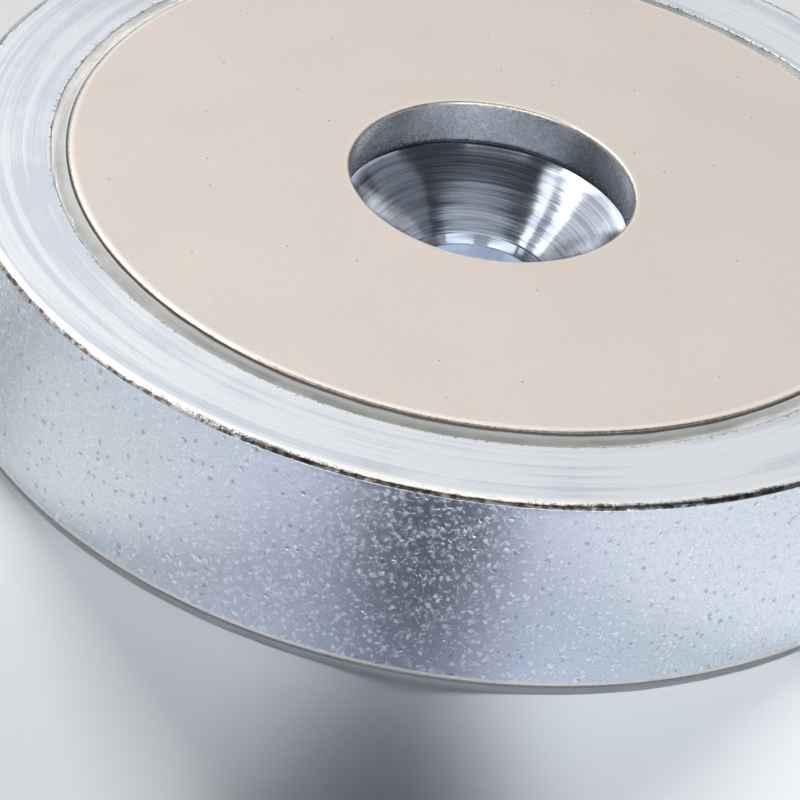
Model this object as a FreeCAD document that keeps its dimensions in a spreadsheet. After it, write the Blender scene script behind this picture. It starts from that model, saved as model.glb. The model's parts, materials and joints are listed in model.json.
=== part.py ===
import FreeCAD, Part
import os

import Sketcher

# Countersunk pot magnet.
# A turned steel pot holds a ring magnet in the pocket of its upper face, and cast resin fills the
# gap round the magnet. A countersunk screw goes in through the magnet's hole and seats in the cone
# below it, so the pull is at the upper face and the flat base lies against the mounting surface.
# The origin is the centre of the base, and +Z points out of the magnetic face.

# Driving sizes, in millimetres and degrees. Radial clearances are measured on the radius.
SIZES = {
    "pot_diameter": (40.0, "outside of the pot"),
    "pot_height": (8.3, "base to rim"),
    "wall_thickness": (3.43, "flat rim, from the pocket to the outside"),
    "base_chamfer": (0.4, "outer edge of the base"),
    "rim_chamfer": (0.2, "outer edge of the rim"),
    "screw_hole_diameter": (5.5, "clearance hole for a 5 mm screw"),
    "hole_chamfer": (0.25, "edge of the screw hole at the base"),
    "countersink_angle": (90.0, "full angle of the screw seat"),
    "mouth_margin": (0.15, "mouth of the screw seat beyond the magnet's hole"),
    "magnet_hole_diameter": (10.8, "lets the screw's head through"),
    "magnet_thickness": (1.9, "ring magnet, face to face"),
    "magnet_proud": (0.2, "magnet's face above the rim"),
    "magnet_edge_radius": (0.15, "rounded edges of the magnet's face"),
    "magnet_foot_chamfer": (0.15, "edges of the magnet's underside"),
    "resin_gap": (0.57, "magnet to the pocket's wall"),
    "resin_recess": (0.05, "resin's edges below the rim"),
    "resin_sag": (0.08, "middle of the resin below its edges"),
}

# Sizes that follow from the driving ones, as expressions on the sheet.
OUTER_RADIUS = "(sizes.pot_diameter / 2)"
POCKET_DEPTH = "(sizes.magnet_thickness - sizes.magnet_proud)"
FLOOR_HEIGHT = f"(sizes.pot_height - {POCKET_DEPTH})"
POCKET_RADIUS = f"({OUTER_RADIUS} - sizes.wall_thickness)"
HOLE_RADIUS = "(sizes.screw_hole_diameter / 2)"
MAGNET_RADIUS = f"({POCKET_RADIUS} - sizes.resin_gap)"
MAGNET_HOLE_RADIUS = "(sizes.magnet_hole_diameter / 2)"
MAGNET_TOP = f"({FLOOR_HEIGHT} + sizes.magnet_thickness)"
MOUTH_DIAMETER = "(sizes.magnet_hole_diameter + 2 * sizes.mouth_margin)"
RESIN_TOP = "(sizes.pot_height - sizes.resin_recess)"
MENISCUS_RADIUS = "((sizes.resin_gap ^ 2 / 4 + sizes.resin_sag ^ 2) / (2 * sizes.resin_sag))"

BASE = "0"
FULL_TURN = 360
TOLERANCE = 1e-4
PLANE_XY = "XY_Plane"
PLANE_XZ = "XZ_Plane"


def make_sheet(doc):
    """The sheet that every feature reads its sizes from."""
    sheet = doc.addObject("Spreadsheet::Sheet", "sizes")
    for row, (name, (value, meaning)) in enumerate(SIZES.items(), start=1):
        sheet.set(f"A{row}", name)
        sheet.set(f"B{row}", str(value))
        sheet.set(f"C{row}", meaning)
        sheet.setAlias(f"B{row}", name)
    doc.recompute()


def worked_out(doc, expression):
    """An expression on the sheet as a number."""
    return float(doc.getObject("sizes").evalExpression(expression))


def make_body(doc, label):
    """An empty body for one piece."""
    body = doc.addObject("PartDesign::Body", label)
    body.Label = label
    body.Placement = FreeCAD.Placement()
    return body


def add_sketch(body, name, plane_role, height=None):
    """A sketch on one of the body's origin planes, lifted to a height where one is given."""
    sketch = body.newObject("Sketcher::SketchObject", name)
    plane = next(item for item in body.Origin.OriginFeatures if item.Role == plane_role)
    sketch.AttachmentSupport = (plane, [""])
    sketch.MapMode = "FlatFace"
    if height:
        sketch.setExpression("AttachmentOffset.Base.z", height)
    return sketch


def add_circle(sketch, name, expression):
    """A circle about the axis, its radius bound to an expression."""
    radius = worked_out(sketch.Document, expression)
    circle = Part.Circle(FreeCAD.Vector(), FreeCAD.Vector(0, 0, 1), radius)
    index = sketch.addGeometry(circle, False)
    sketch.addConstraint(Sketcher.Constraint("Coincident", index, 3, -1, 1))
    bound = sketch.addConstraint(Sketcher.Constraint("Radius", index, radius))
    sketch.renameConstraint(bound, name)
    sketch.setExpression(f"Constraints.{name}", expression)


def add_pad(body, name, sketch, length):
    """A straight extrusion of a sketch, upwards."""
    pad = body.newObject("PartDesign::Pad", name)
    pad.Profile = sketch
    pad.setExpression("Length", length)
    body.Document.recompute()


def rings_at(shape, radius, height):
    """The names of the circular edges with that radius about the axis at that height."""
    found = []
    for number, edge in enumerate(shape.Edges, start=1):
        if not isinstance(edge.Curve, Part.Circle):
            continue
        same_radius = abs(edge.Curve.Radius - radius) < TOLERANCE
        if same_radius and abs(edge.Curve.Center.z - height) < TOLERANCE:
            found.append(f"Edge{number}")
    if not found:
        raise ValueError(f"no ring of radius {radius:g} at height {height:g}")
    return found


def break_edges(body, name, kind, amount, height, *radii):
    """A Chamfer or Fillet on the circular edges at one height of the body's last solid."""
    doc = body.Document
    level = worked_out(doc, height)
    edges = [edge for radius in radii for edge in rings_at(body.Tip.Shape, worked_out(doc, radius), level)]
    feature = body.newObject(f"PartDesign::{kind}", name)
    feature.Base = (feature.BaseFeature, edges)
    feature.setExpression("Size" if kind == "Chamfer" else "Radius", amount)
    doc.recompute()


def make_steel_pot(doc):
    """The turned pot: a disc with a flat pocket, a countersunk hole and broken edges."""
    body = make_body(doc, "steel_pot")

    disc = add_sketch(body, "disc_outline", PLANE_XY)
    add_circle(disc, "outer_radius", OUTER_RADIUS)
    add_pad(body, "disc", disc, "sizes.pot_height")

    mouth = add_sketch(body, "pocket_outline", PLANE_XY, "sizes.pot_height")
    add_circle(mouth, "pocket_radius", POCKET_RADIUS)
    pocket = body.newObject("PartDesign::Pocket", "magnet_pocket")
    pocket.Profile = mouth
    pocket.setExpression("Length", POCKET_DEPTH)
    doc.recompute()

    centre = add_sketch(body, "hole_centre", PLANE_XY, FLOOR_HEIGHT)
    add_circle(centre, "hole_radius", HOLE_RADIUS)
    hole = body.newObject("PartDesign::Hole", "countersunk_hole")
    hole.Profile = centre
    doc.recompute()
    hole.ThreadType = "None"
    hole.DepthType = "ThroughAll"
    hole.HoleCutType = "Countersink"
    hole.HoleCutCustomValues = True
    hole.setExpression("Diameter", "sizes.screw_hole_diameter")
    hole.setExpression("HoleCutDiameter", MOUTH_DIAMETER)
    hole.setExpression("HoleCutCountersinkAngle", "sizes.countersink_angle")
    doc.recompute()

    break_edges(body, "base_edge", "Chamfer", "sizes.base_chamfer", BASE, OUTER_RADIUS)
    break_edges(body, "rim_edge", "Chamfer", "sizes.rim_chamfer", "sizes.pot_height", OUTER_RADIUS)
    break_edges(body, "hole_edge", "Chamfer", "sizes.hole_chamfer", BASE, HOLE_RADIUS)
    return body


def make_ring_magnet(doc):
    """The pressed ring that lies on the pocket's floor, rounded at its face and chamfered below."""
    body = make_body(doc, "ring_magnet")

    ring = add_sketch(body, "ring_outline", PLANE_XY, FLOOR_HEIGHT)
    add_circle(ring, "magnet_radius", MAGNET_RADIUS)
    add_circle(ring, "hole_radius", MAGNET_HOLE_RADIUS)
    add_pad(body, "ring", ring, "sizes.magnet_thickness")

    edges = (MAGNET_RADIUS, MAGNET_HOLE_RADIUS)
    break_edges(body, "foot_edges", "Chamfer", "sizes.magnet_foot_chamfer", FLOOR_HEIGHT, *edges)
    break_edges(body, "face_edges", "Fillet", "sizes.magnet_edge_radius", MAGNET_TOP, *edges)
    return body


def make_potting_resin(doc):
    """The cast ring between magnet and pot, with the hollow surface it sets with."""
    body = make_body(doc, "potting_resin")
    inside = worked_out(doc, MAGNET_RADIUS)
    outside = worked_out(doc, POCKET_RADIUS)
    bottom = worked_out(doc, FLOOR_HEIGHT)
    top = worked_out(doc, RESIN_TOP)
    low_point = FreeCAD.Vector((inside + outside) / 2, top - worked_out(doc, "sizes.resin_sag"), 0)
    corners = {
        "inner_foot": FreeCAD.Vector(inside, bottom, 0),
        "outer_foot": FreeCAD.Vector(outside, bottom, 0),
        "outer_lip": FreeCAD.Vector(outside, top, 0),
        "inner_lip": FreeCAD.Vector(inside, top, 0),
    }

    section = add_sketch(body, "resin_section", PLANE_XZ)
    foot = section.addGeometry(Part.LineSegment(corners["inner_foot"], corners["outer_foot"]))
    outer_side = section.addGeometry(Part.LineSegment(corners["outer_foot"], corners["outer_lip"]))
    meniscus = section.addGeometry(Part.Arc(corners["inner_lip"], low_point, corners["outer_lip"]))
    inner_side = section.addGeometry(Part.LineSegment(corners["inner_lip"], corners["inner_foot"]))
    for joint in (
        ("Coincident", foot, 2, outer_side, 1),
        ("Coincident", outer_side, 2, meniscus, 2),
        ("Coincident", meniscus, 1, inner_side, 1),
        ("Coincident", inner_side, 2, foot, 1),
        ("Horizontal", foot),
        ("Vertical", outer_side),
        ("Vertical", inner_side),
        ("Horizontal", inner_side, 1, outer_side, 2),
    ):
        section.addConstraint(Sketcher.Constraint(*joint))
    for name, kind, ends, value, expression in (
        ("inside", "DistanceX", (-1, 1, foot, 1), inside, MAGNET_RADIUS),
        ("outside", "DistanceX", (-1, 1, foot, 2), outside, POCKET_RADIUS),
        ("floor", "DistanceY", (-1, 1, foot, 1), bottom, FLOOR_HEIGHT),
        ("lip", "DistanceY", (-1, 1, inner_side, 1), top, RESIN_TOP),
    ):
        bound = section.addConstraint(Sketcher.Constraint(kind, *ends, value))
        section.renameConstraint(bound, name)
        section.setExpression(f"Constraints.{name}", expression)
    start_radius = section.Geometry[meniscus].Radius
    bound = section.addConstraint(Sketcher.Constraint("Radius", meniscus, start_radius))
    section.renameConstraint(bound, "meniscus")
    section.setExpression("Constraints.meniscus", MENISCUS_RADIUS)

    ring = body.newObject("PartDesign::Revolution", "cast_ring")
    ring.Profile = section
    ring.ReferenceAxis = (section, ["V_Axis"])
    ring.Angle = FULL_TURN
    doc.recompute()
    return body


def check_document(doc, pieces):
    """Stops where a feature has failed or a piece is no valid solid."""
    for item in doc.Objects:
        if "Invalid" in item.State or "Error" in item.State:
            raise RuntimeError(f"{item.Label} failed: {item.State}")
    for piece in pieces:
        shape = piece.Shape
        if shape.isNull() or not shape.isValid() or len(shape.Solids) != 1:
            raise RuntimeError(f"{piece.Label} is no single valid solid")


def main():
    doc = FreeCAD.newDocument("pot_magnet")
    make_sheet(doc)
    pieces = [make_steel_pot(doc), make_ring_magnet(doc), make_potting_resin(doc)]
    doc.recompute()
    check_document(doc, pieces)
    os.makedirs("parts", exist_ok=True)
    for piece in pieces:
        piece.Shape.exportStep(f"parts/{piece.Label}.step")
        print(f"{piece.Label}: {piece.Shape.Volume:.2f} mm3")


main()
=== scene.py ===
import json
import math
import random

import bmesh
import bpy
from mathutils import Matrix, Vector, noise

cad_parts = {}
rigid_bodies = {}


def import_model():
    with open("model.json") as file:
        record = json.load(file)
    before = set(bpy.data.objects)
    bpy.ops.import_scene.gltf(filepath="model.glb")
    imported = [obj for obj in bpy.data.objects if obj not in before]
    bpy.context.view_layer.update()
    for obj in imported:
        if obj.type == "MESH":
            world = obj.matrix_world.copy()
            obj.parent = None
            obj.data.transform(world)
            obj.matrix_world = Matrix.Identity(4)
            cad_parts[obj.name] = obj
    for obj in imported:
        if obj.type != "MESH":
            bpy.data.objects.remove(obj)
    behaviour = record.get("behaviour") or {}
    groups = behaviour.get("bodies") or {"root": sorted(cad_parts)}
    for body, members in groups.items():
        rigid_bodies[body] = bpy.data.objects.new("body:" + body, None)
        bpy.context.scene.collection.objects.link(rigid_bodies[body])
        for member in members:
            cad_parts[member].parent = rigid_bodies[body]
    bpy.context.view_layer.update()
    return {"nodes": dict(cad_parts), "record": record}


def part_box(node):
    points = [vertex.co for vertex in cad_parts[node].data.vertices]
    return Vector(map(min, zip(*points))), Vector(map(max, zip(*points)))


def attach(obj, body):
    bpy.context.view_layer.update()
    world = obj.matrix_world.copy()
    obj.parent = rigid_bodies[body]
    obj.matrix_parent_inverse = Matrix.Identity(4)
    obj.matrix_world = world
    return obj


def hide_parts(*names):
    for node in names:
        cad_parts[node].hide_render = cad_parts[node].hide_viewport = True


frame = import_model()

bl_info = {
    "name": "Countersunk pot magnet",
    "version": (1, 0, 0),
    "blender": (4, 5, 0),
    "location": "3D View > Sidebar > Pot Magnet",
    "description": "Dresses a countersunk pot magnet: plated steel pot, ring magnet and cast resin",
    "category": "Object",
}

MM = 0.001
FULL_TURN = 2 * math.pi
# How near a CAD corner lies to the height or radius that it is looked up by.
CORNER_REACH = 0.004 * MM
# How near two places of a dressed mesh count as the same.
TOUCH = 1e-7


def corners_of(node):
    """The radius about the axis and the height of each corner of a CAD node."""
    corners = frame["nodes"][node].data.vertices
    return [(math.hypot(corner.co.x, corner.co.y), corner.co.z) for corner in corners]


def radii_at(node, height):
    """The smallest and largest radius of a CAD node's corners at one height."""
    radii = [radius for radius, z in corners_of(node) if abs(z - height) < CORNER_REACH]
    return min(radii), max(radii)


def heights_at(node, radius):
    """The lowest and greatest height of a CAD node's corners at one radius."""
    heights = [z for away, z in corners_of(node) if abs(away - radius) < CORNER_REACH]
    return min(heights), max(heights)


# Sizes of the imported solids, which the dressed pieces keep to.
POT_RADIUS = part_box("steel_pot")[1].x
RIM_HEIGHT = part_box("steel_pot")[1].z
MAGNET_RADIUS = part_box("ring_magnet")[1].x
MAGNET_FOOT, MAGNET_TOP = (corner.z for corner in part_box("ring_magnet"))
POCKET_RADIUS, RIM_RADIUS = radii_at("steel_pot", RIM_HEIGHT)
MOUTH_RADIUS = radii_at("steel_pot", MAGNET_FOOT)[0]
BASE_HOLE_RADIUS, BASE_RADIUS = radii_at("steel_pot", 0)
SCREW_HOLE_RADIUS = frame["record"]["mounts"][0]["dims"]["r_mm"] * MM
HOLE_FOOT, CONE_FOOT = heights_at("steel_pot", SCREW_HOLE_RADIUS)
WALL_FOOT, WALL_TOP = heights_at("steel_pot", POT_RADIUS)
FACE_INSIDE = radii_at("ring_magnet", MAGNET_TOP)[0]
FOOT_INSIDE, FOOT_OUTSIDE = radii_at("ring_magnet", MAGNET_FOOT)
MAGNET_HOLE_RADIUS = min(radius for radius, _height in corners_of("ring_magnet"))
RESIN_MIDDLE = (MAGNET_FOOT + RIM_HEIGHT) / 2
RESIN_LIP = heights_at("potting_resin", POCKET_RADIUS)[1]
RESIN_LOW = min(height for _radius, height in corners_of("potting_resin") if height > RESIN_MIDDLE)


def length(name, description, default, least=0):
    """A length in metres that the panel shows."""
    return bpy.props.FloatProperty(
        name=name,
        description=description,
        default=default,
        min=least,
        unit="LENGTH",
        precision=6,
    )


def angle(name, description, degrees):
    """An angle that the panel shows."""
    return bpy.props.FloatProperty(
        name=name, description=description, default=math.radians(degrees), subtype="ANGLE"
    )


def share(name, description, default):
    """A plain number between 0 and 1 that the panel shows."""
    return bpy.props.FloatProperty(
        name=name, description=description, default=default, min=0, max=1
    )


def colour(name, description, default):
    """A linear colour that the panel shows."""
    return bpy.props.FloatVectorProperty(
        name=name, description=description, default=default, min=0, max=1, size=3, subtype="COLOR"
    )


def count(name, description, default):
    """A number of divisions that the panel shows."""
    return bpy.props.IntProperty(name=name, description=description, default=default, min=8)


class PotSettings(bpy.types.PropertyGroup):
    """Sizes and colours of the steel pot."""

    divisions: count("Divisions", "Straight pieces round the pot", 512)
    edge_rounding: length("Edge rounding", "What a broken edge loses to rounding", 0.035 * MM)
    lip_rounding: length("Lip rounding", "What the rim's outer edge loses to rounding", 0.19 * MM)
    hole_break: length("Hole break", "Width of the screw hole's broken edge", 0.26 * MM)
    wall_rows: count("Wall rows", "Rows of faces up the outer wall", 30)
    rim_rows: count("Rim rows", "Rows of faces across the rim", 40)
    seat_rows: count("Seat rows", "Rows of faces down the screw seat", 44)
    turning_depth: length("Turning depth", "Depth of the tool's rings on the rim", 0.0012 * MM)
    seat_depth: length("Seat depth", "Depth of the rings at the seat's top", 0.0022 * MM)
    seat_foot_depth: length("Seat foot depth", "Depth of the rings at the seat's foot", 0.0045 * MM)
    seat_bow: length("Seat bow", "How far the middle of the screw seat bows inwards", 0.10 * MM)
    burr_height: length("Burr height", "Raggedness of the rim's two edges", 0.035 * MM)
    wall_waviness: length("Wall waviness", "Unevenness of the outer wall", 0.004 * MM)
    knob_size: length("Knob size", "Distance between the rough knobs of the outer wall", 0.3 * MM)
    knob_height: length("Knob height", "Height of the largest knobs", 0.015 * MM)
    pit_depth: length("Pit depth", "Depth of the pits between the knobs", 0.014 * MM)
    plating: colour("Plating", "Bright zinc plating", (0.84, 0.87, 0.91))
    # Plating shade is partly painted shade, drawn into the low lines of the rim's rings, and partly
    # tone that varies at random.
    plating_shade: colour("Plating shade", "Plating where it lies thinner", (0.68, 0.72, 0.78))
    seat_plating: colour("Seat plating", "Bluish plating of the screw seat", (0.74, 0.80, 0.90))
    # Seat shade is painted shade, drawn into the grooves of the screw seat's rings.
    seat_shade: colour("Seat shade", "Plating in the grooves of the screw seat", (0.45, 0.50, 0.60))
    smear: colour("Smear", "Dark smears by the pocket", (0.25, 0.25, 0.24))
    # The greenish and bluish plating are a painted reflection tint, set by the place across the
    # wall.
    side_reflection_tint: colour("Greenish plating", "Outer wall, at its two sides", (0.76, 0.82, 0.87))
    front_reflection_tint: colour("Bluish plating", "Outer wall, in front and behind", (0.73, 0.78, 0.92))
    # Knob crest is a painted highlight on the tops of the knobs.
    knob_highlight: colour("Knob crest", "Pale tops of the knobs", (0.92, 0.95, 1.0))
    # Pit is painted shade in the pits between the knobs.
    pit: colour("Pit", "Dark pits between the knobs", (0.25, 0.27, 0.34))
    # Wall hem is a painted highlight: the bright line along the outer wall's foot.
    foot_highlight: colour("Wall hem", "Dull warm line at the outer wall's foot", (0.74, 0.70, 0.63))
    worn_edge: colour("Worn edge", "Warmer metal along the worn edges", (0.92, 0.88, 0.80))
    # The dark line along the rim's outer edge is painted shade.
    shade_line: colour("Bare line", "Dark line along the rim's outer edge", (0.14, 0.11, 0.11))
    # Base edge is a painted highlight on the edge of the base. Its darker chips vary at random.
    base_edge: colour("Base edge", "Dull plating on the edge of the base", (0.9, 0.86, 0.77))
    base_edge_shade: colour("Base edge shade", "Dull edge's darker chips", (0.66, 0.62, 0.55))
    roughness: share("Roughness", "Roughness of the rim and the base", 0.24)
    seat_roughness: share("Seat roughness", "Roughness of the screw seat", 0.13)
    wall_roughness: share("Wall roughness", "Roughness of the outer wall", 0.22)
    worn_roughness: share("Worn roughness", "Roughness of the rim's worn edge", 0.2)
    dull_roughness: share("Dull roughness", "Roughness of the dull edge of the base", 0.5)


class MagnetSettings(bpy.types.PropertyGroup):
    """Sizes and colours of the ring magnet."""

    divisions: count("Divisions", "Straight pieces round the magnet", 384)
    outer_rounding: length("Outer rounding", "Radius of the rubbed outer edge", 0.22 * MM)
    coating: colour("Coating", "Champagne-coloured face", (0.80, 0.72, 0.65))
    bore: colour("Bore", "Grey wall of the magnet's hole", (0.70, 0.68, 0.665))
    # Edge is a painted highlight on the rounded edges and in rings of the face beside them.
    edge: colour("Edge", "Brighter coating on the rounded edges", (0.93, 0.87, 0.80))
    speck: colour("Speck", "Dark specks in the face", (0.16, 0.13, 0.11))
    scratch: colour("Scratch", "Fine scratches in the face", (0.95, 0.9, 0.85))
    # Bore foot is painted shade in the corner where the hole's wall meets the pot.
    bore_foot_shade: colour("Bore foot", "Dark foot of the hole's wall", (0.03, 0.03, 0.035))
    # Seam is painted shadow in the gap where the magnet meets the resin.
    seam: colour("Seam", "Dull brown side, where the magnet meets the resin", (0.13, 0.09, 0.07))
    grain_size: length("Grain size", "Distance between grains of the ground face", 0.08 * MM)
    grain_depth: length("Grain depth", "Depth of the grain", 0.002 * MM)
    roughness: share("Roughness", "Roughness of the ground face", 0.42)
    bore_roughness: share("Bore roughness", "Roughness of the wall of the magnet's hole", 0.26)
    edge_roughness: share("Edge roughness", "Roughness of the rounded edges", 0.27)


class ResinSettings(bpy.types.PropertyGroup):
    """Sizes and colours of the cast resin."""

    divisions: count("Divisions", "Straight pieces round the ring", 720)
    rows: count("Rows", "Rows of faces across the hollow surface", 10)
    waviness: length("Waviness", "Unevenness of the resin's surface", 0.02 * MM)
    creep_height: length("Creep height", "How far the resin climbs the magnet's side", 0.1 * MM)
    body_colour: colour("Resin", "Grey resin", (0.45, 0.445, 0.43))
    # Resin creep is a painted highlight along the resin beside the magnet.
    creep_highlight: colour("Resin creep", "Paler resin that climbs the magnet", (0.52, 0.52, 0.505))
    roughness: share("Roughness", "Roughness of the resin's surface", 0.2)


class StageSettings(bpy.types.PropertyGroup):
    """The floor, the light and the camera."""

    floor_radius: length("Floor radius", "Size of the pale floor", 6.0)
    floor_gap: length("Floor gap", "Hair's breadth between the base and the floor", 0.02 * MM)
    floor_colour: colour("Floor", "Pale floor", (0.80, 0.80, 0.80))
    floor_roughness: share("Floor roughness", "Roughness of the floor", 0.75)
    room_colour: colour("Room colour", "Faint blue of the room's light", (0.80, 0.87, 1.0))
    room_light: share("Room light", "Even light that the floor gets from the room", 0.115)
    high_light: share("High light", "Dim light that the metal mirrors from high up", 0.06)
    horizon_light: share("Horizon light", "Paler light that the metal mirrors from low down", 0.42)
    horizon_top: share("Horizon top", "Height where the paler light starts to fade", 0.08)
    high_foot: share("High foot", "Height where only the dim light is left", 0.3)
    lamp_distance: length("Lamp distance", "From the magnet to each lamp", 1.5)
    beam_distance: length("Beam distance", "From the floor to each narrow beam's lamp", 120 * MM)
    beam_spread: angle("Beam spread", "Spread of the narrow beams", 3.5)
    beam_colour: colour("Beam colour", "Faint blue of the narrow beams", (0.90, 0.95, 1.0))
    focal_length: bpy.props.FloatProperty(
        name="Focal length",
        description="Lens in millimetres on a 36 mm frame",
        default=217.9,
        min=1,
    )
    camera_elevation: angle("Elevation", "Height of the view", 34.889)
    camera_roll: angle("Roll", "Turn of the picture", 9.524)
    camera_distance: length("Distance", "From the rim's centre, along the view", 181.49 * MM)
    camera_right: length("Right", "Camera's place across the picture", -3.438 * MM, least=-1)
    camera_up: length("Up", "Camera's place up the picture", -8.102 * MM, least=-1)


class Signal:
    """One output of a node. Sums and products of signals add Math nodes."""

    def __init__(self, nodes, socket):
        self.nodes = nodes
        self.socket = socket

    def output(self, name):
        """Another output of the same node."""
        return Signal(self.nodes, self.socket.node.outputs[name])

    def math(self, operation, *operands):
        """A Math node on values and signals."""
        sockets = dict(enumerate(operands))
        return self.nodes.node("ShaderNodeMath", {"operation": operation}, sockets)

    def __add__(self, other):
        return self.math("ADD", self, other)

    __radd__ = __add__

    def __sub__(self, other):
        return self.math("SUBTRACT", self, other)

    def __rsub__(self, other):
        return self.math("SUBTRACT", other, self)

    def __mul__(self, other):
        return self.math("MULTIPLY", self, other)

    __rmul__ = __mul__

    def __truediv__(self, other):
        return self.math("DIVIDE", self, other)

    def __lt__(self, other):
        return self.math("LESS_THAN", self, other)

    def __gt__(self, other):
        return self.math("GREATER_THAN", self, other)


class Nodes:
    """The nodes of a material or of the world, and the one method that makes them."""

    def __init__(self, tree):
        self.tree = tree

    def node(self, kind, settings=None, inputs=None, output=0):
        """A node with its settings, and its sockets set to values or linked to signals."""
        made = self.tree.nodes.new(kind)
        for name, value in (settings or {}).items():
            setattr(made, name, value)
        for key, value in (inputs or {}).items():
            if isinstance(value, Signal):
                self.tree.links.new(value.socket, made.inputs[key])
            else:
                made.inputs[key].default_value = value
        return Signal(self, made.outputs[output])

    def ramp(self, value, low, high, start=0.0, end=1.0):
        """The start below low and the end above high, with a smooth rise between them."""
        return self.node(
            "ShaderNodeMapRange",
            {"interpolation_type": "SMOOTHSTEP"},
            {"Value": value, "From Min": low, "From Max": high, "To Min": start, "To Max": end},
        )

    def axis(self, place, name):
        """The X, Y or Z of a place."""
        return self.node("ShaderNodeSeparateXYZ", inputs={"Vector": place}).output(name)

    def height(self, place):
        """The Z of a place."""
        return self.axis(place, "Z")


class Finish(Nodes):
    """A material of the pot magnet."""

    def __init__(self, name, roughness, metallic=1.0, **sockets):
        self.material = bpy.data.materials.new(name)
        self.material.use_nodes = True
        super().__init__(self.material.node_tree)
        self.shader = self.tree.nodes["Principled BSDF"]
        self.shader.inputs["Metallic"].default_value = metallic
        self.shader.inputs["Roughness"].default_value = roughness
        for socket, value in sockets.items():
            self.shader.inputs[socket.replace("_", " ").title()].default_value = value
        self.place = self.node("ShaderNodeTexCoord").output("Object")

    def vector(self, operation, *operands):
        """A Vector Math node."""
        sockets = dict(enumerate(operands))
        return self.node("ShaderNodeVectorMath", {"operation": operation}, sockets)

    def scaled(self, vector, factor):
        """A vector or a colour times a number."""
        sockets = {0: vector, "Scale": factor}
        return self.node("ShaderNodeVectorMath", {"operation": "SCALE"}, sockets)

    def mix(self, factor, first, second):
        """A colour between two others, which are the Mix node's sockets 6 and 7."""
        sockets = {0: factor}
        for socket, tone in ((6, first), (7, second)):
            sockets[socket] = (*tone, 1.0) if isinstance(tone, tuple) else tone
        return self.node("ShaderNodeMix", {"data_type": "RGBA"}, sockets, output=2)

    def grain(self, size, detail):
        """Noise with grains of one size in metres."""
        sockets = {"Vector": self.place, "Scale": 1 / size, "Detail": detail}
        return self.node("ShaderNodeTexNoise", inputs=sockets)

    def cells(self, size, place):
        """The distance to the nearest of many scattered points, in cells."""
        return self.node("ShaderNodeTexVoronoi", inputs={"Vector": place, "Scale": 1 / size})

    def flat_cells(self, size, place):
        """Scattered points in the plane of X and Y, as cells does in space."""
        settings, sockets = {"voronoi_dimensions": "2D"}, {"Vector": place, "Scale": 1 / size}
        return self.node("ShaderNodeTexVoronoi", settings, sockets)

    def luck(self, cells):
        """A number between 0 and 1 for each cell."""
        parts = self.node("ShaderNodeSeparateColor", inputs={"Color": cells.output("Color")})
        return parts.output("Red")

    def flat(self):
        """The place without its height."""
        return self.vector("MULTIPLY", self.place, (1, 1, 0))

    def radius(self):
        """The distance from the axis."""
        return self.vector("LENGTH", self.flat()).output("Value")

    def rings(self, pitch, drift):
        """Noise that follows circles about the axis, and changes slowly along them."""
        away = self.scaled(self.vector("NORMALIZE", self.flat()), drift)
        across = self.node("ShaderNodeCombineXYZ", inputs={"Z": self.radius() / pitch})
        sockets = {"Vector": self.vector("ADD", away, across), "Scale": 1.0, "Detail": 3.0}
        return self.node("ShaderNodeTexNoise", inputs=sockets)

    def feed(self, socket, signal):
        """A signal into one of the shader's own sockets."""
        self.tree.links.new(signal.socket, self.shader.inputs[socket])

    def emboss(self, height):
        """Relief from a height in metres."""
        self.feed("Normal", self.node("ShaderNodeBump", inputs={"Height": height, "Distance": 1.0}))


def turned_plating(settings):
    """Bright plating over the tool's rings, on the rim and the base, with painted shade in the
    rings' low lines and smears by the pocket.
    """
    finish = Finish(
        "turned_plating", settings.roughness, anisotropic=0.6, anisotropic_rotation=0.25
    )
    broad = finish.rings(0.3 * MM, drift=0.8)
    fine = finish.rings(0.05 * MM, drift=1.6)
    scratches = finish.rings(0.02 * MM, drift=6.0)
    cloud = finish.grain(2.5 * MM, detail=2.0)
    # Painted shade: the plating is drawn darker where the broad rings, which also raise the relief,
    # run low. The cloud adds tone that varies at random.
    shade = finish.ramp(broad * 0.75 + cloud * 0.25, 0.4, 0.54)
    plating = finish.mix(shade, tuple(settings.plating_shade), tuple(settings.plating))
    near_pocket = finish.ramp(finish.radius(), POCKET_RADIUS + 0.3 * MM, POCKET_RADIUS)
    near_pocket = near_pocket * (finish.height(finish.place) > WALL_TOP)
    smear = finish.ramp(finish.grain(0.14 * MM, detail=3.0) + near_pocket * 0.2, 0.74, 0.79)
    finish.feed("Base Color", finish.mix(smear * 0.75, plating, tuple(settings.smear)))
    finish.feed("Roughness", settings.roughness - 0.06 + fine * 0.1 + scratches * 0.08)
    finish.emboss(fine * (0.0035 * MM) + broad * (0.008 * MM) + scratches * (0.0012 * MM))
    return finish.material


def seat_plating(settings):
    """Bright plating over the deeper rings of the screw seat, with painted shade in their grooves.
    """
    finish = Finish(
        "seat_plating", settings.seat_roughness, anisotropic=0.7, anisotropic_rotation=0.25
    )
    broad = finish.rings(0.16 * MM, drift=0.7)
    fine = finish.rings(0.045 * MM, drift=1.5)
    # Painted shade: the seat is drawn darker where its rings, which also raise the relief, run low.
    shade = finish.ramp(broad * 0.6 + fine * 0.4, 0.38, 0.58)
    tone = finish.mix(shade, tuple(settings.seat_shade), tuple(settings.seat_plating))
    finish.feed("Base Color", tone)
    finish.feed("Roughness", settings.seat_roughness - 0.05 + fine * 0.12)
    finish.emboss(broad * (0.004 * MM) + fine * (0.0013 * MM))
    return finish.material


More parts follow.
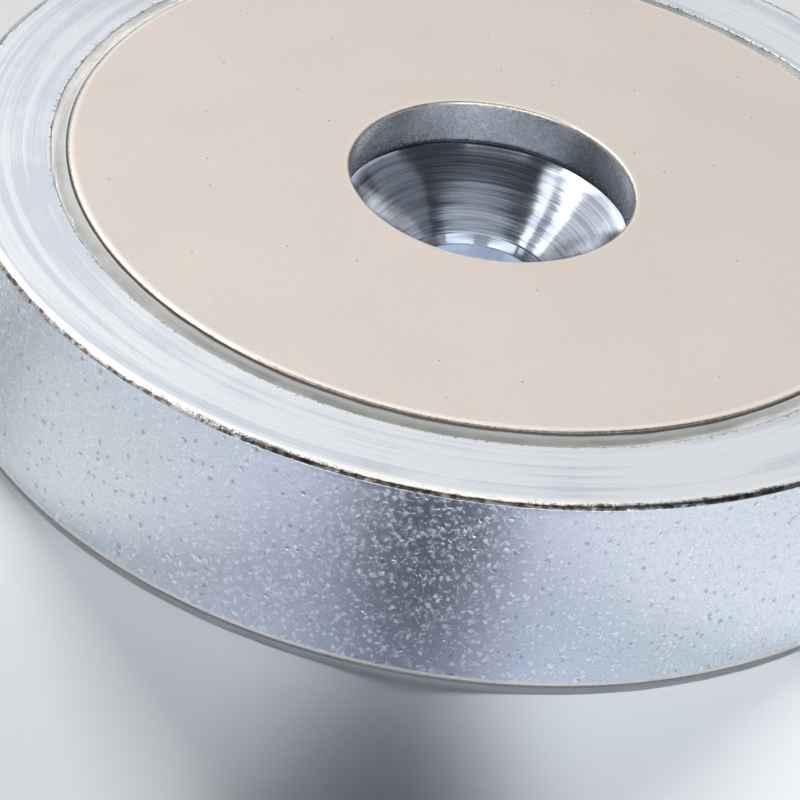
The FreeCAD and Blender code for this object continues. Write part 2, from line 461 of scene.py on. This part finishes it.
def pitted_plating(settings):
    """Bright plating over the pitted outer wall, with a painted reflection tint, lilac in front and
    behind, green at the sides.
    """
    finish = Finish("pitted_plating", settings.wall_roughness)
    size = settings.knob_size
    grit = finish.grain(0.05 * MM, detail=2.0)
    bend = finish.grain(0.6 * size, detail=1.0).output("Color")
    place = finish.vector("MULTIPLY_ADD", bend, (0.8 * size,) * 3, finish.place)
    large, small, holes = (finish.cells(part * size, place) for part in (0.85, 0.42, 1.25))
    knob = finish.ramp(large, 0.62, -0.08) * (0.35 + finish.luck(large) * 0.65)
    grain = finish.ramp(small, 0.6, -0.05) * finish.ramp(finish.luck(small), 0.1, 0.8)
    pit = finish.ramp(holes, 0.3, 0.12) * finish.ramp(finish.luck(holes), 0.4, 0.6)
    relief = knob * settings.knob_height + grain * (0.45 * settings.knob_height)
    finish.emboss(relief - pit * settings.pit_depth + grit * (0.001 * MM))
    # Painted reflection tint: lilac up to 5 mm from the middle and green from 10 mm on, with a
    # border that wanders.
    across = finish.axis(finish.place, "X") + finish.grain(9.0 * MM, detail=1.0) * (8 * MM) - 3 * MM
    green = finish.ramp(across * across, (5 * MM) ** 2, (10 * MM) ** 2)
    tone = finish.mix(green, tuple(settings.front_reflection_tint), tuple(settings.side_reflection_tint))
    # Painted highlight: the knobs and grains are drawn pale towards their tops.
    tone = finish.mix(knob * 0.7 + grain * 0.5, tone, tuple(settings.knob_highlight))
    # Painted shade: the pits are drawn darker.
    tone = finish.mix(pit * 0.5, tone, tuple(settings.pit))
    # Painted highlight: a pale, warm, less metallic band along the wall's foot.
    edge = finish.height(finish.place) + finish.grain(0.3 * MM, detail=2.0) * (0.12 * MM)
    foot = finish.ramp(edge, WALL_FOOT + 0.23 * MM, WALL_FOOT + 0.15 * MM)
    finish.feed("Base Color", finish.mix(foot, tone, tuple(settings.foot_highlight)))
    finish.feed("Metallic", (1 - foot * 0.75) * (1 - knob * 0.55) * (1 - grain * 0.35))
    rough = knob * 0.26 + grain * 0.16 + foot * 0.2
    finish.feed("Roughness", settings.wall_roughness - 0.05 + grit * 0.06 + rough)
    return finish.material


def lip_plating(settings):
    """The rim's outer edge: ragged warm plating with a broken dark line of painted shade."""
    finish = Finish("lip_plating", settings.worn_roughness)
    chips = finish.grain(0.2 * MM, detail=3.0)
    warm = finish.ramp(chips, 0.4, 0.6)
    tone = finish.mix(warm, tuple(settings.plating), tuple(settings.worn_edge))
    height = finish.height(finish.place) + chips * (0.09 * MM)
    # Painted shade: a dark band a little below the rim's top, broken up by noise.
    line = finish.ramp(height, RIM_HEIGHT - 0.02 * MM, RIM_HEIGHT - 0.06 * MM)
    line = line * finish.ramp(height, RIM_HEIGHT - 0.17 * MM, RIM_HEIGHT - 0.13 * MM)
    lip = finish.ramp(finish.grain(0.35 * MM, detail=3.0), 0.47, 0.56)
    line_shade = line * (0.5 + lip * 0.45)
    finish.feed("Base Color", finish.mix(line_shade, tone, tuple(settings.shade_line)))
    finish.feed("Roughness", settings.worn_roughness - 0.12 + chips * 0.2)
    finish.emboss(chips * (0.016 * MM) + finish.grain(0.07 * MM, detail=2.0) * (0.005 * MM))
    return finish.material


def dull_edge(settings):
    """The edge of the base, dull and warm: a pale, partly metallic colour that paints a highlight
    along the pot's foot, with darker chips at random.
    """
    finish = Finish("dull_edge", settings.dull_roughness, metallic=0.25)
    chips = finish.grain(0.25 * MM, detail=3.0)
    whole = finish.ramp(chips, 0.3, 0.6)
    tone = finish.mix(whole, tuple(settings.base_edge_shade), tuple(settings.base_edge))
    finish.feed("Base Color", tone)
    finish.emboss(chips * (0.01 * MM))
    return finish.material


def champagne_coating(settings):
    """The magnet's ground face: an even warm grain with a few dark specks and fine scratches, and a
    painted highlight in a ring beside each edge.
    """
    finish = Finish("champagne_coating", settings.roughness)
    grain = finish.grain(settings.grain_size, detail=3.0)
    cloud = finish.grain(5.0 * MM, detail=2.0)
    tone = finish.scaled(tuple(settings.coating), 0.855 + cloud * 0.1 + grain * 0.26)
    specks = finish.flat_cells(3.2 * MM, finish.place)
    speck = (specks < 0.0095) * (finish.luck(specks) > 0.5)
    # The mapping squeezes the cells to a thirtieth in Y, so that the scratches run along X.
    squeezed = {"Vector": finish.place, "Rotation": (0, 0, 0.7), "Scale": (1, 30, 1)}
    hairs = finish.flat_cells(2.4 * MM, finish.node("ShaderNodeMapping", inputs=squeezed))
    hair = finish.ramp(hairs, 0.34, 0.26) * (finish.luck(hairs) > 0.982)
    tone = finish.mix(hair * 0.22, tone, tuple(settings.scratch))
    # Painted highlight: the face is drawn brighter in a ring next to its outer edge and, fainter,
    # next to its hole.
    face_edge = MAGNET_RADIUS - settings.outer_rounding
    outer = finish.ramp(finish.radius(), face_edge - 0.14 * MM, face_edge - 0.04 * MM)
    inner = finish.ramp(finish.radius(), FACE_INSIDE + 0.14 * MM, FACE_INSIDE + 0.04 * MM)
    tone = finish.mix(outer + inner * 0.4, tone, tuple(settings.edge))
    finish.feed("Base Color", finish.mix(speck, tone, tuple(settings.speck)))
    finish.feed("Roughness", settings.roughness - 0.04 + grain * 0.1)
    finish.emboss(grain * settings.grain_depth - speck * (0.01 * MM))
    return finish.material


def bore_coating(settings):
    """The grey wall of the magnet's hole, with painted shade in a dark line where it meets the pot.
    """
    finish = Finish("bore_coating", settings.bore_roughness)
    grain = finish.grain(0.12 * MM, detail=3.0)
    height = finish.height(finish.place)
    # Painted shade: the wall darkens towards its foot, in the corner where it meets the pot.
    corner = finish.ramp(height, MAGNET_FOOT + 0.3 * MM, MAGNET_FOOT + 0.1 * MM)
    light = tuple(settings.bore)
    dark = tuple(0.8 * part for part in light)
    wall = finish.mix(finish.ramp(grain, 0.35, 0.65), dark, light)
    finish.feed("Base Color", finish.mix(corner, wall, tuple(settings.bore_foot_shade)))
    finish.feed("Roughness", settings.bore_roughness - 0.05 + grain * 0.12)
    finish.emboss(grain * (0.005 * MM))
    return finish.material


def edge_coating(settings):
    """The magnet's rounded edges, drawn in a brighter colour that is a painted highlight, above its
    dull brown side, which is painted shadow where the magnet meets the resin.
    """
    finish = Finish("edge_coating", settings.edge_roughness)
    grain = finish.grain(0.16 * MM, detail=3.0)
    edge_band = finish.ramp(grain, 0.35, 0.6)
    tone = finish.mix(edge_band, tuple(settings.coating), tuple(settings.edge))
    depth = finish.height(finish.place) + grain * (0.03 * MM)
    # Painted shadow: the lower, outer part of the edge, by the resin, is drawn dull brown.
    side = finish.ramp(depth, MAGNET_TOP - 0.04 * MM, MAGNET_TOP - 0.07 * MM)
    side = side * (finish.radius() > (MAGNET_RADIUS + MAGNET_HOLE_RADIUS) / 2)
    finish.feed("Base Color", finish.mix(side, tone, tuple(settings.seam)))
    finish.feed("Metallic", 1 - side * 0.9)
    finish.feed("Roughness", settings.edge_roughness - 0.05 + grain * 0.14 + side * 0.25)
    finish.emboss(grain * (0.006 * MM))
    return finish.material


def grey_resin(settings):
    """Glossy cast resin, drawn paler where it climbs the magnet as a painted highlight."""
    finish = Finish("grey_resin", settings.roughness, metallic=0.0)
    cloud = finish.grain(1.5 * MM, detail=3.0)
    light = tuple(settings.body_colour)
    dark = tuple(0.8 * part for part in light)
    tone = finish.mix(finish.ramp(cloud, 0.35, 0.65), dark, light)
    away = finish.radius() + finish.grain(0.5 * MM, detail=2.0) * (0.06 * MM)
    # Painted highlight: the resin is drawn paler near the magnet.
    creep = finish.ramp(away, MAGNET_RADIUS + 0.23 * MM, MAGNET_RADIUS + 0.08 * MM)
    finish.feed("Base Color", finish.mix(creep, tone, tuple(settings.creep_highlight)))
    finish.emboss(finish.grain(0.35 * MM, detail=2.0) * (0.006 * MM))
    return finish.material


def section(corners):
    """A closed outline in the XZ plane, each side a pair of neighbouring corners."""
    outline = bmesh.new()
    points = [outline.verts.new((radius, 0, height)) for radius, height in corners]
    for point, following in zip(points, points[1:] + points[:1]):
        outline.edges.new((point, following))
    return outline


def nearest_vert(outline, corner):
    """The outline's vertex at a corner given as radius and height."""
    place = Vector((corner[0], 0, corner[1]))
    return min(outline.verts, key=lambda vert: (vert.co - place).length)


def nearest_edge(outline, start, end):
    """The outline's edge that runs nearest to the middle between two corners."""
    middle = Vector(((start[0] + end[0]) / 2, 0, (start[1] + end[1]) / 2))
    return min(outline.edges, key=lambda edge: (middle_of(edge) - middle).length)


def middle_of(edge):
    """The place halfway between an edge's two ends."""
    return (edge.verts[0].co + edge.verts[1].co) / 2


def round_corner(outline, corner, offset, segments):
    """Rounds the outline's corner, given as radius and height."""
    bmesh.ops.bevel(
        outline,
        geom=[nearest_vert(outline, corner)],
        offset=offset,
        segments=segments,
        profile=0.5,
        affect="VERTICES",
        material=-1,
    )


def revolve(outline, divisions):
    """Turns the outline once round the axis and points its faces outwards."""
    geometry = outline.verts[:] + outline.edges[:]
    bmesh.ops.spin(
        outline,
        geom=geometry,
        cent=(0, 0, 0),
        axis=(0, 0, 1),
        angle=FULL_TURN,
        steps=divisions,
        use_merge=True,
    )
    bmesh.ops.recalc_face_normals(outline, faces=outline.faces[:])


def unevenness(place, size, octaves, falloff=1.0):
    """Noise about zero, with grains of one size in metres and finer ones in each octave."""
    return noise.fractal(place / size, falloff, 2.0, octaves)


def finish_piece(shape, name, node, materials):
    """The mesh as an object that stands for its CAD node."""
    data = bpy.data.meshes.new(name)
    for face in shape.faces:
        face.smooth = True
    shape.to_mesh(data)
    shape.free()
    for material in materials:
        data.materials.append(material)
    piece = bpy.data.objects.new(name, data)
    bpy.context.scene.collection.objects.link(piece)
    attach(piece, "root")
    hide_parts(node)


class POTMAGNET_OT_make_pot(bpy.types.Operator):
    """Makes the turned and plated steel pot"""

    bl_idname = "potmagnet.make_pot"
    bl_label = "Steel pot"

    def execute(self, context):
        settings = context.scene.pot_settings
        broken = settings.hole_break
        # Each corner's radius and height, and the rows of faces on the side that follows it.
        # The broken edge reaches a third as far down the screw hole as it does up the seat.
        outline = (
            (BASE_HOLE_RADIUS, 0, 6),
            (BASE_RADIUS, 0, 2),
            (POT_RADIUS, WALL_FOOT, settings.wall_rows),
            (POT_RADIUS, WALL_TOP, 1),
            (RIM_RADIUS, RIM_HEIGHT, settings.rim_rows),
            (POCKET_RADIUS, RIM_HEIGHT, 2),
            (POCKET_RADIUS, MAGNET_FOOT, 2),
            (MOUTH_RADIUS, MAGNET_FOOT, settings.seat_rows),
            (SCREW_HOLE_RADIUS + broken, CONE_FOOT + broken, 2),
            (SCREW_HOLE_RADIUS, CONE_FOOT - 0.33 * broken, 4),
            (SCREW_HOLE_RADIUS, HOLE_FOOT, 1),
        )
        corners = [corner[:2] for corner in outline]
        # The two corners of the rim's bevel have roundings of their own, in finer steps.
        roundings = {
            (RIM_RADIUS, RIM_HEIGHT): settings.lip_rounding,
            (POT_RADIUS, WALL_TOP): 0.4 * settings.edge_rounding,
        }
        shape = section(corners)
        for corner in corners:
            segments = 6 if corner in roundings else 3
            round_corner(shape, corner, roundings.get(corner, settings.edge_rounding), segments)
        for start, end, (*_, rows) in zip(corners, corners[1:] + corners[:1], outline):
            if rows > 1:
                side = nearest_edge(shape, start, end)
                bmesh.ops.subdivide_edges(shape, edges=[side], cuts=rows - 1)
        self.cut_rings(shape, settings)
        revolve(shape, settings.divisions)
        self.roughen(shape, settings)
        for face in shape.faces:
            face.material_index = pot_finish(face)
        materials = (
            turned_plating(settings),
            pitted_plating(settings),
            seat_plating(settings),
            lip_plating(settings),
            dull_edge(settings),
        )
        finish_piece(shape, "steel_pot_plated", "steel_pot", materials)
        return {"FINISHED"}

    def cut_rings(self, outline, settings):
        """The tool's rings in the rim and the screw seat, as unequal grooves."""
        luck = random.Random(4)
        for point in sorted(outline.verts, key=lambda vert: (vert.co.x, vert.co.z)):
            radius, height = point.co.x, point.co.z
            if height > RIM_HEIGHT - TOUCH and POCKET_RADIUS < radius < RIM_RADIUS:
                point.co.z -= luck.random() * settings.turning_depth
            elif CONE_FOOT + settings.hole_break < height < MAGNET_FOOT and radius < MOUTH_RADIUS:
                sink = (MAGNET_FOOT - height) / (MAGNET_FOOT - CONE_FOOT)
                growth = settings.seat_foot_depth - settings.seat_depth
                depth = settings.seat_depth + sink * growth
                bow = settings.seat_bow * math.sin(math.pi * sink**0.75)
                cut = (luck.random() * depth - bow) / math.sqrt(2)
                point.co.x += cut
                point.co.z -= cut

    def roughen(self, shape, settings):
        """The uneven outer wall and the ragged edges of the rim."""
        reach = 0.12 * MM
        wall_grain, rim_grain, pocket_grain = 0.9 * MM, 0.3 * MM, 0.35 * MM
        for vert in shape.verts:
            place = vert.co
            radius = math.hypot(place.x, place.y)
            away = Vector((place.x / radius, place.y / radius, 0))
            if radius > POT_RADIUS - TOUCH:
                wave = unevenness(place, wall_grain, 2)
                vert.co = place - away * (settings.wall_waviness * (0.5 + 0.5 * wave))
            elif place.z > RIM_HEIGHT - reach and radius > RIM_RADIUS - reach:
                tear = max(0.0, unevenness(place, rim_grain, 3, falloff=0.8))
                vert.co = place + (away + Vector((0, 0, 0.6))) * (settings.burr_height * tear)
            elif place.z > RIM_HEIGHT - reach and radius < POCKET_RADIUS + reach:
                tear = unevenness(place, pocket_grain, 3, falloff=0.8)
                vert.co = place - away * (settings.burr_height * tear)


def pot_finish(face):
    """Which of the pot's finishes a face takes, in the order that its operator lists them."""
    turned, pitted, seat, lip, dull = range(5)
    middle = face.calc_center_median()
    radius = math.hypot(middle.x, middle.y)
    if radius < MOUTH_RADIUS + 0.1 * MM and middle.z > HOLE_FOOT:
        return seat
    if radius > (POT_RADIUS + RIM_RADIUS) / 2 and WALL_FOOT - 0.01 * MM < middle.z < WALL_TOP:
        return pitted
    if radius > RIM_RADIUS - 0.12 * MM and middle.z > WALL_TOP:
        return lip
    if radius > POT_RADIUS - 0.1 * MM:
        return dull
    return turned


class POTMAGNET_OT_make_magnet(bpy.types.Operator):
    """Makes the ground ring magnet"""

    bl_idname = "potmagnet.make_magnet"
    bl_label = "Ring magnet"

    def execute(self, context):
        settings = context.scene.magnet_settings
        inner_rounding = FACE_INSIDE - MAGNET_HOLE_RADIUS
        foot_chamfer = FOOT_INSIDE - MAGNET_HOLE_RADIUS
        outer_corner = (MAGNET_RADIUS, MAGNET_TOP)
        inner_corner = (MAGNET_HOLE_RADIUS, MAGNET_TOP)
        shape = section(
            [
                (FOOT_INSIDE, MAGNET_FOOT),
                (FOOT_OUTSIDE, MAGNET_FOOT),
                (MAGNET_RADIUS, MAGNET_FOOT + foot_chamfer),
                outer_corner,
                inner_corner,
                (MAGNET_HOLE_RADIUS, MAGNET_FOOT + foot_chamfer),
            ]
        )
        round_corner(shape, outer_corner, settings.outer_rounding, 8)
        round_corner(shape, inner_corner, inner_rounding, 8)
        long_side, support = 0.5 * MM, 0.06 * MM
        for side in [edge for edge in shape.edges if edge.calc_length() > long_side]:
            support_ends(side, support)
        revolve(shape, settings.divisions)
        _ground, bore, edge_band = range(3)
        for face in shape.faces:
            middle = face.calc_center_median()
            radius = math.hypot(middle.x, middle.y)
            if radius < FOOT_INSIDE and middle.z < MAGNET_TOP - inner_rounding:
                face.material_index = bore
            elif MAGNET_FOOT + foot_chamfer < middle.z < MAGNET_TOP - 0.01 * MM:
                face.material_index = edge_band
        materials = (
            champagne_coating(settings),
            bore_coating(settings),
            edge_coating(settings),
        )
        finish_piece(shape, "ring_magnet_coated", "ring_magnet", materials)
        return {"FINISHED"}


def support_ends(side, distance):
    """A point close to each end of a long side, which keeps the side's shading straight."""
    first, last = side.verts
    point = bmesh.utils.edge_split(side, first, distance / side.calc_length())[1]
    rest = next(edge for edge in point.link_edges if last in edge.verts)
    bmesh.utils.edge_split(rest, last, distance / rest.calc_length())


class POTMAGNET_OT_make_resin(bpy.types.Operator):
    """Makes the cast resin round the magnet"""

    bl_idname = "potmagnet.make_resin"
    bl_label = "Potting resin"

    def execute(self, context):
        settings = context.scene.resin_settings
        shape = section(
            [
                (MAGNET_RADIUS, MAGNET_FOOT),
                (POCKET_RADIUS, MAGNET_FOOT),
                (POCKET_RADIUS, RESIN_LIP),
                (MAGNET_RADIUS, RESIN_LIP),
            ]
        )
        surface = nearest_edge(shape, (MAGNET_RADIUS, RESIN_LIP), (POCKET_RADIUS, RESIN_LIP))
        bmesh.ops.subdivide_edges(shape, edges=[surface], cuts=settings.rows - 1)
        half = (POCKET_RADIUS - MAGNET_RADIUS) / 2
        for vert in shape.verts:
            if vert.co.z > RESIN_LIP - TOUCH:
                across = (vert.co.x - MAGNET_RADIUS - half) / half
                vert.co.z -= (RESIN_LIP - RESIN_LOW) * (1 - across * across)
                vert.co.z += settings.creep_height * ((1 - across) / 2) ** 4
        revolve(shape, settings.divisions)
        wave_size = 1.2 * MM
        for vert in shape.verts:
            if vert.co.z > RESIN_MIDDLE:
                vert.co.z += settings.waviness * unevenness(vert.co, wave_size, 3)
        materials = (grey_resin(settings),)
        finish_piece(shape, "potting_resin_cast", "potting_resin", materials)
        return {"FINISHED"}


def towards(azimuth, elevation):
    """A direction from degrees. Azimuth 0 is the camera's side, and it grows towards +X."""
    around, up = math.radians(azimuth), math.radians(elevation)
    return Vector((math.sin(around) * math.cos(up), -math.cos(around) * math.cos(up), math.sin(up)))


def gather(name, members):
    """A collection of the objects that a lamp lights."""
    collection = bpy.data.collections.new(name)
    for member in members:
        collection.objects.link(member)
    return collection


class POTMAGNET_OT_make_stage(bpy.types.Operator):
    """Makes the floor, the lamps and the camera"""

    bl_idname = "potmagnet.make_stage"
    bl_label = "Stage"

    # Soft boxes that show in the metal: name, azimuth, elevation, width and height in degrees,
    # radiance, colour.
    BOXES = (
        ("back_box", 180, 49, 90, 58, 0.81, (1.0, 1.0, 1.0)),
        ("back_left_box", -146, 44, 44, 48, 0.3, (1.0, 1.0, 1.0)),
        ("left_box_front", -65, 46, 8, 28, 1.4, (1.0, 1.0, 1.0)),
        ("left_box_gap", -76, 46, 13, 28, 0.35, (0.95, 0.97, 1.0)),
        ("left_box_rear", -89, 45, 10, 30, 1.4, (1.0, 1.0, 1.0)),
        ("left_rear_box", -114, 27, 40, 28, 0.65, (1.0, 1.0, 1.0)),
        ("left_high_box", -114, 53, 42, 22, 1.2, (1.0, 0.97, 0.93)),
        ("right_box", 100, 34, 36, 24, 0.14, (0.9, 0.95, 1.0)),
        ("front_box", 8, 42.2, 100, 28.2, 0.45, (0.9, 0.95, 1.0)),
        ("hole_left_box", -34, 36, 36, 9, 1.5, (0.93, 0.97, 1.0)),
        ("hole_right_box", 34, 36, 36, 9, 1.2, (0.93, 0.97, 1.0)),
        ("low_left_box", -22, 8, 40, 18, 3.0, (0.95, 0.98, 1.0)),
        ("low_right_box", 22, 8, 40, 18, 3.0, (0.95, 0.98, 1.0)),
        ("top_box", 0, 90, 28, 28, 1.15, (1.0, 0.95, 0.88)),
    )
    # Lamps from behind that light the floor and the resin, and don't show in the metal.
    MAINS = (
        ("left_main", -152, 19, 14, 10, 88.0, (1.0, 1.0, 1.0)),
        ("right_main", 152, 19, 14, 10, 88.0, (1.0, 1.0, 1.0)),
    )
    # Narrow beams that light the floor beside the pot's shadow and under its screw hole: name,
    # azimuth, elevation, size in millimetres, radiance and the place on the floor in millimetres.
    FLOOR_BEAMS = (
        ("left_beam", -104, 60, (24, 21), 0.46, (-16.6, -24.5)),
        ("right_beam", 104, 60, (24, 21), 0.74, (16.0, -24.5)),
        ("hole_beam", 0, 90, (6, 6), 1.15, (0, 0)),
    )

    def execute(self, context):
        settings = context.scene.stage_settings
        floor = self.make_floor(settings)
        pieces = [piece for piece in context.scene.objects if piece.name in PIECES]
        object_only = gather("object_only", pieces)
        floor_only = gather("floor_only", [floor])
        matte = gather("matte", [floor] + [piece for piece in pieces if "resin" in piece.name])
        centre = Vector((0, 0, RIM_HEIGHT))
        distance = settings.lamp_distance
        for lamps, lit, mirrored in ((self.BOXES, object_only, True), (self.MAINS, matte, False)):
            for name, azimuth, elevation, width, height, radiance, tint in lamps:
                away = towards(azimuth, elevation)
                spans = math.radians(width), math.radians(height)
                size = [2 * distance * math.tan(span / 2) for span in spans]
                place = centre + away * distance
                lamp = self.make_lamp(name, place, away, size, radiance, tint, lit)
                lamp.visible_glossy = mirrored
        tint = tuple(settings.beam_colour)
        for name, azimuth, elevation, size, radiance, (x, y) in self.FLOOR_BEAMS:
            away = towards(azimuth, elevation)
            place = Vector((x, y, 0)) * MM + away * settings.beam_distance
            size = [side * MM for side in size]
            lamp = self.make_lamp(name, place, away, size, radiance, tint, floor_only)
            lamp.data.spread = settings.beam_spread
            lamp.visible_glossy = False
            lamp.visible_camera = False
        self.light_room(context, settings)
        self.place_camera(context, settings, centre)
        return {"FINISHED"}

    def make_lamp(self, name, place, away, size, radiance, tint, lit):
        """A flat lamp at a place, which faces against a direction and lights one collection."""
        lamp = bpy.data.lights.new(name, "AREA")
        lamp.shape = "RECTANGLE"
        lamp.size, lamp.size_y = size
        lamp.energy = radiance * math.pi * size[0] * size[1]
        lamp.color = tint
        holder = bpy.data.objects.new(name, lamp)
        bpy.context.scene.collection.objects.link(holder)
        holder.location = place
        holder.rotation_euler = away.to_track_quat("Z", "Y").to_euler()
        holder.light_linking.receiver_collection = lit
        return holder

    def make_floor(self, settings):
        """The pale floor that the magnet lies on."""
        shape = bmesh.new()
        below = Matrix.Translation((0, 0, -settings.floor_gap))
        bmesh.ops.create_circle(
            shape, cap_ends=True, segments=64, radius=settings.floor_radius, matrix=below
        )
        data = bpy.data.meshes.new("floor")
        shape.to_mesh(data)
        shape.free()
        finish = Finish("pale_floor", settings.floor_roughness, metallic=0.0)
        finish.shader.inputs["Base Color"].default_value = (*settings.floor_colour, 1)
        data.materials.append(finish.material)
        floor = bpy.data.objects.new("floor", data)
        bpy.context.scene.collection.objects.link(floor)
        return floor

    def light_room(self, context, settings):
        """Faint light all round. The metal mirrors it brighter near the horizon than high up."""
        room = bpy.data.worlds.new("room")
        context.scene.world = room
        room.use_nodes = True
        nodes = Nodes(room.node_tree)
        height = nodes.height(nodes.node("ShaderNodeTexCoord").output("Generated"))
        low, high = settings.horizon_top, settings.high_foot
        mirrored = nodes.ramp(height, low, high, settings.horizon_light, settings.high_light)
        diffuse = nodes.node("ShaderNodeLightPath").output("Is Diffuse Ray")
        # The two numbers that the Mix node chooses between are its sockets 2 and 3.
        sockets = {0: diffuse, 2: mirrored, 3: settings.room_light}
        strength = nodes.node("ShaderNodeMix", inputs=sockets)
        background = room.node_tree.nodes["Background"]
        background.inputs["Color"].default_value = (*settings.room_colour, 1)
        room.node_tree.links.new(strength.socket, background.inputs["Strength"])

    def place_camera(self, context, settings, centre):
        """The camera at the photograph's angle and frame."""
        up = settings.camera_elevation
        back = Vector((0, -math.cos(up), math.sin(up)))
        level = Vector((1, 0, 0))
        upright = back.cross(level)
        roll = settings.camera_roll
        right = math.cos(roll) * level + math.sin(roll) * upright
        top = math.cos(roll) * upright - math.sin(roll) * level
        lens = bpy.data.cameras.new("camera")
        lens.lens = settings.focal_length
        lens.clip_start = 0.01
        lens.clip_end = 20
        camera = bpy.data.objects.new("camera", lens)
        context.scene.collection.objects.link(camera)
        camera.matrix_world = Matrix(
            (
                (right.x, top.x, back.x, 0),
                (right.y, top.y, back.y, 0),
                (right.z, top.z, back.z, 0),
                (0, 0, 0, 1),
            )
        )
        camera.location = (
            centre
            + back * settings.camera_distance
            + right * settings.camera_right
            + top * settings.camera_up
        )
        context.scene.camera = camera
        context.scene.view_settings.view_transform = "Standard"


class POTMAGNET_PT_panel(bpy.types.Panel):
    """Lists the pieces of the pot magnet and their sizes"""

    bl_label = "Pot Magnet"
    bl_idname = "POTMAGNET_PT_panel"
    bl_space_type = "VIEW_3D"
    bl_region_type = "UI"
    bl_category = "Pot Magnet"

    def draw(self, context):
        for operator, group in STEPS:
            box = self.layout.box()
            box.operator(operator)
            settings = getattr(context.scene, group)
            for name in settings.__annotations__:
                box.prop(settings, name)


PIECES = ("steel_pot_plated", "ring_magnet_coated", "potting_resin_cast")
STEPS = (
    ("potmagnet.make_pot", "pot_settings"),
    ("potmagnet.make_magnet", "magnet_settings"),
    ("potmagnet.make_resin", "resin_settings"),
    ("potmagnet.make_stage", "stage_settings"),
)
GROUPS = (
    ("pot_settings", PotSettings),
    ("magnet_settings", MagnetSettings),
    ("resin_settings", ResinSettings),
    ("stage_settings", StageSettings),
)
CLASSES = (
    PotSettings,
    MagnetSettings,
    ResinSettings,
    StageSettings,
    POTMAGNET_OT_make_pot,
    POTMAGNET_OT_make_magnet,
    POTMAGNET_OT_make_resin,
    POTMAGNET_OT_make_stage,
    POTMAGNET_PT_panel,
)


def register():
    for each in CLASSES:
        bpy.utils.register_class(each)
    for name, group in GROUPS:
        setattr(bpy.types.Scene, name, bpy.props.PointerProperty(type=group))


def unregister():
    for name, _group in GROUPS:
        delattr(bpy.types.Scene, name)
    for each in reversed(CLASSES):
        bpy.utils.unregister_class(each)


def main():
    register()
    bpy.ops.potmagnet.make_pot()
    bpy.ops.potmagnet.make_magnet()
    bpy.ops.potmagnet.make_resin()
    bpy.ops.potmagnet.make_stage()


if __name__ == "__main__":
    main()
